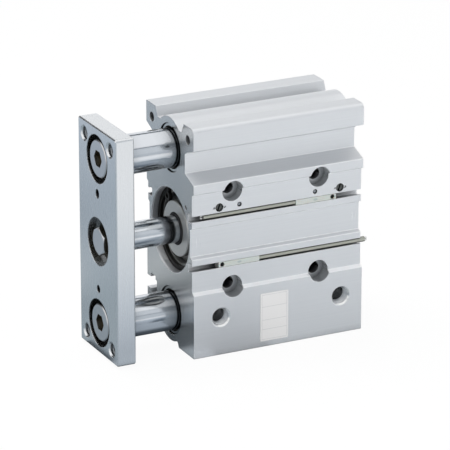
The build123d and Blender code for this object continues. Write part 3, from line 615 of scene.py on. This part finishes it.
bolt_axes = [(plate_front, rod_axis_y, z) for z in (-rod_spacing, 0.0, rod_spacing)]
bored = inside_bores(
    tree, place, bolt_axes, (0, 1, 1), recess_radius, "X", plate_front + recess_depth
)
recess_rough = add_node(
    tree, "ShaderNodeMix", {3: recess_roughness}, {0: bored, 2: plate_rough.outputs["Result"]}
)
tree.links.new(recess_rough.outputs[0], shader.inputs["Roughness"])
# The recesses' dark brown is painted shade.
plate_colour = add_node(
    tree, "ShaderNodeMix",
    {6: linear(plate_tone), 7: linear(recess_shade_tone)}, {0: bored}, data_type="RGBA",
)
# Deep and narrow places of the plate get painted shade.
shade_gaps(
    tree, shader, plate_colour.outputs[2], reach=6 * MM, dark="#17180F", closed=0.18, wide=0.80
)
dress(nickel, "tool_plate")


# Bolts and cushion nut: steel, zinc plated and passivated, bright with a slightly cloudy
# film. Their sockets and the gaps round their heads get a brown painted shade.
zinc, tree, shader, _, tone = mottled(
    "zinc_plated_steel", "#D2D4D8", "#DEDFE1",
    grain=1.6 * MM, metallic=1.0, smooth=0.26, rough=0.34,
)
shade_gaps(tree, shader, tone, reach=8 * MM, dark="#6A5D3A", closed=0.30, wide=0.80)
zinc_corner = add_node(tree, "ShaderNodeBevel", {"Radius": 0.15 * MM}, samples=4)
tree.links.new(zinc_corner.outputs["Normal"], shader.inputs["Normal"])
dress(zinc, "upper_rod_bolt", "lower_rod_bolt", "centre_bolt", "cushion_nut")


# Cushion needles: turned from steel, plated as the bolts are, and screwed into the body,
# which is staked over them. Their tone is darkened as painted shade, and they are duller.
shaded_needle_steel, tree, shader, _, tone = mottled(
    "zinc_plated_steel_shaded", "#4C4D4A", "#7D7E7B",
    grain=0.5 * MM, metallic=0.9, smooth=0.32, rough=0.44,
)
shade_gaps(tree, shader, tone, reach=4 * MM, dark="#0E100F", closed=0.3, wide=0.9)
dress(shaded_needle_steel, "front_needle", "rear_needle")


# Switch screws: steel set screws that clamp each switch in its groove. They are
# chemically blackened, which leaves a dull grey sheen on near black.
blackened, *_ = mottled(
    "blackened_steel", "#1C1D1E", "#3A3B3C",
    grain=0.4 * MM, metallic=0.8, smooth=0.30, rough=0.42,
)
dress(blackened, "upper_switch_screw", "lower_switch_screw")


# Ball plugs: hardened bearing balls, pressed into the air drillings to close them. Each
# shows as a small polished mirror.
ball_steel, *_ = mottled(
    "polished_bearing_steel", "#9EA1A4", "#B3B6B9",
    grain=0.5 * MM, metallic=1.0, smooth=0.12, rough=0.20,
)
dress(ball_steel, "ball_plugs")


# Bushes: pressed from bronze powder and sintered, brown and speckled with pores that hold
# oil. The pores are drawn coarser than the real ones, so that they show.
bronze, *_ = mottled(
    "sintered_bronze", "#7C5A33", "#B98D57",
    grain=0.25 * MM, metallic=0.9, smooth=0.36, rough=0.48, bump=0.3, depth=0.03 * MM,
)
dress(bronze, "upper_front_bush", "lower_front_bush", "upper_rear_bush", "lower_rear_bush")


# Felt rings and their holders: matted wool soaked in oil, near black and fuzzy, with its
# fibres drawn coarser so that they show. A ring pressed from bright sheet steel, with a
# soft edge, holds each felt in.
felt, *_ = mottled(
    "oiled_felt", "#24211C", "#39342C",
    grain=0.3 * MM, metallic=0.0, smooth=0.85, rough=0.95, bump=0.8, depth=0.1 * MM,
)
dress(felt, "upper_felt_ring", "lower_felt_ring")

pressed, tree, shader, *_ = mottled(
    "pressed_bright_steel", "#C8CAC9", "#DADCDB",
    grain=0.7 * MM, metallic=1.0, smooth=0.18, rough=0.27,
)
pressed_corner = add_node(tree, "ShaderNodeBevel", {"Radius": 0.2 * MM}, samples=4)
tree.links.new(pressed_corner.outputs["Normal"], shader.inputs["Normal"])
dress(pressed, "upper_felt_holder", "lower_felt_holder")


# Seals: wiper, rod seal, cushion seals, piston seal, gasket and every O-ring are moulded
# nitrile rubber, near black and matt with a faint bloom. The piston's magnet is rubber
# full of ferrite powder, greyer, and its wear ring is a cut strip of cream plastic.
rubber, *_ = mottled(
    "nitrile_rubber", "#161617", "#222223",
    grain=1.2 * MM, metallic=0.0, smooth=0.45, rough=0.68,
)
dress(
    rubber,
    "rod_wiper", "rod_seal", "front_cushion_seal", "rear_cushion_seal", "piston_seal",
    "piston_gasket", "rod_cover_o_rings", "head_cover_o_rings",
    "front_needle_o_ring", "rear_needle_o_ring",
)

magnet, *_ = mottled(
    "magnetic_rubber", "#303032", "#454547",
    grain=0.3 * MM, metallic=0.1, smooth=0.55, rough=0.68,
)
dress(magnet, "piston_magnet")

wear_plastic, *_ = mottled(
    "bearing_plastic", "#D0C7A6", "#DED6B8",
    grain=0.9 * MM, metallic=0.0, smooth=0.40, rough=0.50,
)
dress(wear_plastic, "wear_ring")


# Position switches: moulded in pale resin that lets a little light in, each with a small
# indicator lamp that shows through a clear, glossier window. The set screw's head is sunk
# in the resin.
lamp_radius = 0.6 * MM
lamp_stretch = 2.0
lamp_sunk, lamp_proud = 0.1 * MM, 0.025 * MM
switch_face = -52 * MM
switch_lamps = {"upper": (22.3 * MM, 13 * MM), "lower": (-20.0 * MM, -13 * MM)}

resin, _, shader, *_ = mottled(
    "pale_switch_resin", "#A9AEAA", "#B6BAB5",
    grain=0.8 * MM, metallic=0.0, smooth=0.36, rough=0.44,
)
shader.inputs["Subsurface Weight"].default_value = 0.15
shader.inputs["Subsurface Scale"].default_value = 0.5 * MM
dress(resin, "upper_switch", "lower_switch")

lamp_window, *_ = mottled(
    "clear_green_resin", "#8F9A99", "#A3ACAC",
    grain=0.5 * MM, metallic=0.0, smooth=0.12, rough=0.20,
)
for side, (x, z) in switch_lamps.items():
    mesh = bmesh.new()
    bmesh.ops.create_circle(mesh, cap_ends=True, radius=lamp_radius, segments=20)
    bmesh.ops.scale(mesh, verts=mesh.verts, vec=(lamp_stretch, 1, 1))
    bmesh.ops.rotate(mesh, verts=mesh.verts, matrix=Matrix.Rotation(radians(90), 3, "X"))
    bmesh.ops.translate(mesh, verts=mesh.verts, vec=(x, switch_face + lamp_sunk, z))
    rim = bmesh.ops.extrude_face_region(mesh, geom=mesh.faces[:])
    raised = [v for v in rim["geom"] if isinstance(v, bmesh.types.BMVert)]
    bmesh.ops.translate(mesh, verts=raised, vec=(0, -lamp_sunk - lamp_proud, 0))
    bmesh.ops.recalc_face_normals(mesh, faces=mesh.faces)
    piece = finished_piece(f"{side}_switch_lamp", mesh, lamp_window)
    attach(piece, "body")


# Switch leads: a soft grey-green vinyl sheath that lies along the groove, with two bare
# tinned copper cores at its cut end. Its underside and the gaps beside it are darkened as painted
# shade.
sheath_ends = (-39.5 * MM, 50.8 * MM)
core_tone = "#D6D7D5"
underside_shade_tone = "#12130F"
shade_none, shade_full = -0.2, -0.6

sheath, tree, shader, place, tone = mottled(
    "vinyl_lead_sheath", "#898B82", "#969890",
    grain=0.6 * MM, metallic=0.0, smooth=0.30, rough=0.42,
)
where = add_node(tree, "ShaderNodeSeparateXYZ", links={"Vector": place["Object"]})
before = add_node(
    tree, "ShaderNodeMath", {1: sheath_ends[0]}, {0: where.outputs["X"]}, operation="LESS_THAN"
)
after = add_node(
    tree, "ShaderNodeMath", {1: sheath_ends[1]}, {0: where.outputs["X"]}, operation="GREATER_THAN"
)
bare = add_node(
    tree, "ShaderNodeMath",
    links={0: before.outputs["Value"], 1: after.outputs["Value"]}, operation="MAXIMUM",
)
lead_tone = add_node(
    tree, "ShaderNodeMix",
    {7: linear(core_tone)}, {0: bare.outputs["Value"], 6: tone}, data_type="RGBA",
)
lead_facing = add_node(tree, "ShaderNodeSeparateXYZ", links={"Vector": place["Normal"]})
underside = add_node(
    tree, "ShaderNodeMapRange",
    {"From Min": shade_none, "From Max": shade_full}, {"Value": lead_facing.outputs["Z"]}
)
shaded_lead_tone = add_node(
    tree, "ShaderNodeMix",
    {7: linear(underside_shade_tone)}, {0: underside.outputs["Result"], 6: lead_tone.outputs[2]},
    data_type="RGBA",
)
shade_gaps(
    tree, shader, shaded_lead_tone.outputs[2], reach=1.2 * MM, dark="#0A0B09", closed=0.36, wide=0.85
)
dress(sheath, "upper_lead", "lower_lead")


# Type plate: a thin pale foil stuck on the ported side, matt with a fine grain. It is left
# blank but for a fine printed frame and the rules between its empty fields.
foil_ground, foil_ink = "#D0CFCE", "#ABADAE"
foil_grain = 0.5 * MM
smooth_foil, rough_foil = 0.38, 0.52
plate_middle = Vector((-1.5, -54, -44.2)) * MM
plate_half = Vector((7.8, 0, 12.75)) * MM
frame_inset = 0.9 * MM
line_width = 0.18 * MM
field_rules = (-6.5 * MM, -1.5 * MM, 5.5 * MM)

foil, tree, shader, place = surface("matt_printed_foil", foil_ground, metallic=0.1, roughness=0.45)
from_middle = add_node(
    tree, "ShaderNodeMapping", {"Location": -plate_middle}, {"Vector": place["Object"]}
)
where = add_node(tree, "ShaderNodeSeparateXYZ", links={"Vector": from_middle.outputs["Vector"]})
frame_lines = []
for axis, half in (("X", plate_half.x - frame_inset), ("Z", plate_half.z - frame_inset)):
    distance = add_node(
        tree, "ShaderNodeMath", links={0: where.outputs[axis]}, operation="ABSOLUTE"
    ).outputs["Value"]
    at_line = add_node(
        tree, "ShaderNodeMath", {1: half, 2: line_width / 2}, {0: distance}, operation="COMPARE"
    )
    within = add_node(
        tree, "ShaderNodeMath", {1: half + line_width / 2}, {0: distance}, operation="LESS_THAN"
    )
    frame_lines.append((at_line.outputs["Value"], within.outputs["Value"]))
inside = add_node(
    tree, "ShaderNodeMath", links={0: frame_lines[0][1], 1: frame_lines[1][1]}, operation="MULTIPLY"
).outputs["Value"]
printed = add_node(
    tree, "ShaderNodeMath", links={0: frame_lines[0][0], 1: frame_lines[1][0]}, operation="MAXIMUM"
).outputs["Value"]
for rule in field_rules:
    at_rule = add_node(
        tree, "ShaderNodeMath", {1: rule, 2: line_width / 2},
        {0: where.outputs["Z"]}, operation="COMPARE",
    ).outputs["Value"]
    printed = add_node(
        tree, "ShaderNodeMath", links={0: printed, 1: at_rule}, operation="MAXIMUM"
    ).outputs["Value"]
ink = add_node(
    tree, "ShaderNodeMath", links={0: printed, 1: inside}, operation="MULTIPLY"
).outputs["Value"]
foil_tone = add_node(
    tree, "ShaderNodeMix", {6: linear(foil_ground), 7: linear(foil_ink)}, {0: ink}, data_type="RGBA"
)
tree.links.new(foil_tone.outputs[2], shader.inputs["Base Color"])
foil_mottle = add_node(
    tree, "ShaderNodeTexNoise", {"Scale": 1 / foil_grain, "Detail": 2}, {"Vector": place["Object"]}
)
foil_rough = add_node(
    tree, "ShaderNodeMapRange",
    {"To Min": smooth_foil, "To Max": rough_foil}, {"Value": foil_mottle.outputs["Fac"]}
)
tree.links.new(foil_rough.outputs["Result"], shader.inputs["Roughness"])
dress(foil, "type_plate")


# Studio: a pale table, a wide soft lamp low in front to the right, one overhead and a weak
# one to the left. Cards that only reflections see give the metal its greys: graded mats
# that lie on the table, and upright grey cards in front of the cylinder and behind it.
floor_level = -60.2 * MM
floor_size = 4.0
white = (1, 1, 1, 1)
table_tone, table_white_share = "#F2F2F2", 0.95
fill_tone, fill_strength = "#EEF2F8", 0.24

# Each mat: X and Y of its middle in metres and its height over the table in mm, its width
# and depth, the degrees it is turned, and its greys by their place on the Y axis.
# The mats grow dark near the cylinder, as a painted shadow of it that only reflections see.
mats = {
    "front_mat": ((0.425, 0.0, 0.1), 0.95, 2.4, 0.0, (
        (-0.65, "#AEB4BB"), (-0.52, "#BEC4C9"), (-0.42, "#F4F6F7"), (-0.27, "#E4E8EB"),
        (-0.20, "#D2D7DB"), (-0.13, "#BEC4C9"), (-0.06, "#A5ACB1"), (-0.01, "#767D84"),
        (0.05, "#42494F"), (0.12, "#4A5157"), (0.22, "#C5CACF"), (0.35, "#EEF0F2"),
    )),
    "rod_mat": ((-0.006, -0.10, 0.25), 0.044, 0.17, 26.3, (
        (-0.18, "#939DA5"), (-0.15, "#98A2AA"), (-0.12, "#A8B0B8"), (-0.095, "#7C8690"),
        (-0.07, "#59626B"), (-0.02, "#3E464E"),
    )),
    "foot_mat": ((-0.062, -0.036, 0.3), 0.056, 0.056, 0.0, (
        (-0.064, "#B0B8C0"), (-0.041, "#A4ACB4"), (-0.035, "#50575E"), (-0.01, "#42494F"),
    )),
    "end_mat": ((-0.1125, 0.107, 0.15), 0.036, 0.34, 26.3, (
        (-0.045, "#90969B"), (-0.012, "#70777C"), (0.006, "#4C5358"), (0.026, "#34393E"),
        (0.040, "#5A6065"), (0.058, "#C0C5C8"), (0.08, "#D0D4D7"), (0.11, "#B8BEC2"),
        (0.16, "#808890"), (0.23, "#A4ACB2"),
    )),
    "left_mat": ((-0.475, 0.0, 0.1), 0.85, 2.4, 0.0, (
        (-0.30, "#C4CBD2"), (-0.10, "#9CA8B0"), (0.00, "#98A3AA"), (0.05, "#98A4AC"),
        (0.12, "#A2AEB8"), (0.27, "#ABB7C4"), (0.45, "#C5CCD3"),
    )),
    "side_mat": ((0.1055, -0.4475, 0.2), 0.078, 0.90, 26.3, (
        (-0.90, "#FFFFFF"), (-0.28, "#FFFFFF"), (-0.20, "#E1E6EA"), (-0.11, "#BEC6CF"),
        (-0.06, "#A2AAB2"), (-0.01, "#8A929A"),
    )),
}

# Each upright card: its middle, width and height in metres, and its grey.
cards = {
    "front_card": ((0, -1.2, 0.145), 4.0, 0.41, "#C9CED3"),
    "front_upper_card": ((0, -1.2, 0.575), 4.0, 0.45, "#A0A6AC"),
    "upper_card": ((0, -1.2, 1.0), 4.0, 0.4, "#8E949A"),
    "rod_card": ((0.10, -0.35, 0.195), 0.075, 0.21, "#DCE0E4"),
    "back_card": ((0.825, 1.2, 0.40), 2.35, 0.92, "#F8F9FA"),
    "back_upper_card": ((0, 1.2, 1.05), 4.0, 0.46, "#666D75"),
    "back_left_card": ((-0.62, 1.19, 0.5), 1.1, 0.9, "#0A0C0E"),
}

# Each lamp: where it stands, its width and height in metres, and its power in watts. It
# faces the origin.
lamps = {
    "key": ((0.84, -0.98, 0.14), 1.2, 0.36, 15.2),
    "top": ((-0.18, 0.25, 0.94), 0.8, 0.8, 12.0),
    "left": ((-0.70, -0.62, 0.22), 0.6, 0.5, 1.2),
}


def seen_rays(tree):
    """1 for rays from the camera, off gloss and through clear things, and 0 for the rest."""
    rays = add_node(tree, "ShaderNodeLightPath")
    seen = add_node(
        tree, "ShaderNodeMath",
        links={0: rays.outputs["Is Camera Ray"], 1: rays.outputs["Is Glossy Ray"]},
        operation="MAXIMUM",
    )
    return add_node(
        tree, "ShaderNodeMath",
        links={0: seen.outputs["Value"], 1: rays.outputs["Is Transmission Ray"]},
        operation="MAXIMUM",
    ).outputs["Value"]


def glowing_paint(name):
    """A material that shows its colour unlit, with its node tree and its emission."""
    made = bpy.data.materials.new(name)
    made.use_nodes = True
    tree = made.node_tree
    glow = add_node(tree, "ShaderNodeEmission", {"Strength": 1.0})
    tree.links.new(glow.outputs["Emission"], tree.nodes["Material Output"].inputs["Surface"])
    return made, tree, glow


def flat_card(name, centre, width, depth, material, tilt=0.0, swing=0.0):
    """A rectangle of the studio: level, tilted up about the X axis, or swung round."""
    mesh = bmesh.new()
    bmesh.ops.create_grid(mesh, x_segments=1, y_segments=1, size=0.5)
    bmesh.ops.scale(mesh, vec=(width, depth, 1), verts=mesh.verts)
    bmesh.ops.rotate(mesh, matrix=Matrix.Rotation(tilt, 3, "X"), verts=mesh.verts)
    bmesh.ops.rotate(mesh, matrix=Matrix.Rotation(swing, 3, "Z"), verts=mesh.verts)
    bmesh.ops.translate(mesh, vec=centre, verts=mesh.verts)
    made = finished_piece(name, mesh, material)
    return made


# The table is matt paint that takes the shadow, and shows nearly white to the eye.
table_paint, tree, shader, _ = surface("pale_table", table_tone, metallic=0.0, roughness=0.8)
whiteness = add_node(
    tree, "ShaderNodeMath",
    {1: table_white_share}, {0: seen_rays(tree)}, operation="MULTIPLY"
)
glow = add_node(tree, "ShaderNodeEmission", {"Color": white, "Strength": 1.0})
table_mix = add_node(
    tree, "ShaderNodeMixShader",
    links={0: whiteness.outputs["Value"], 1: shader.outputs["BSDF"], 2: glow.outputs["Emission"]},
)
tree.links.new(table_mix.outputs["Shader"], tree.nodes["Material Output"].inputs["Surface"])
flat_card("table", (0, 0, floor_level), floor_size, floor_size, table_paint)

reflected = []
for name, ((x, y, lift), width, depth, swing, steps) in mats.items():
    mat_paint, tree, glow = glowing_paint(name)
    place = add_node(tree, "ShaderNodeTexCoord").outputs
    where = add_node(tree, "ShaderNodeSeparateXYZ", links={"Vector": place["Object"]})
    first, last = steps[0][0], steps[-1][0]
    along_mat = add_node(
        tree, "ShaderNodeMapRange",
        {"From Min": first, "From Max": last}, {"Value": where.outputs["Y"]},
    )
    grades = add_node(tree, "ShaderNodeValToRGB", links={"Fac": along_mat.outputs["Result"]})
    stops = grades.color_ramp.elements
    for number, (distance, colour) in enumerate(steps):
        share = (distance - first) / (last - first)
        stop = stops[number] if number < 2 else stops.new(share)
        stop.position = share
        stop.color = linear(colour)
    tree.links.new(grades.outputs["Color"], glow.inputs["Color"])
    centre = (x, y, floor_level + lift * MM)
    reflected.append(flat_card(name, centre, width, depth, mat_paint, swing=radians(swing)))
for name, (centre, width, height, colour) in cards.items():
    card_paint, _, glow = glowing_paint(name)
    glow.inputs["Color"].default_value = linear(colour)
    reflected.append(flat_card(name, centre, width, height, card_paint, tilt=radians(90)))
for card in reflected:
    card.visible_camera = False
    card.visible_diffuse = False
    card.visible_shadow = False

for name, (position, width, height, power) in lamps.items():
    data = bpy.data.lights.new(name, "AREA")
    data.shape = "RECTANGLE"
    data.size = width
    data.size_y = height
    data.energy = power
    lamp = bpy.data.objects.new(name, data)
    lamp.location = position
    lamp.rotation_euler = Vector(position).to_track_quat("Z", "Y").to_euler()
    lamp.visible_glossy = False
    collection.objects.link(lamp)

# The world is a weak cool fill light, and white to the eye.
world = bpy.data.worlds.new("studio")
bpy.context.scene.world = world
world.use_nodes = True
tree = world.node_tree
fill_light = tree.nodes["Background"]
fill_light.inputs["Color"].default_value = linear(fill_tone)
fill_light.inputs["Strength"].default_value = fill_strength
backdrop = add_node(tree, "ShaderNodeBackground", {"Color": white, "Strength": 1.0})
sky = add_node(
    tree, "ShaderNodeMixShader",
    links={
        0: seen_rays(tree),
        1: fill_light.outputs["Background"],
        2: backdrop.outputs["Background"],
    },
)
tree.links.new(sky.outputs["Shader"], tree.nodes["World Output"].inputs["Surface"])

bpy.context.scene.view_settings.view_transform = "Standard"
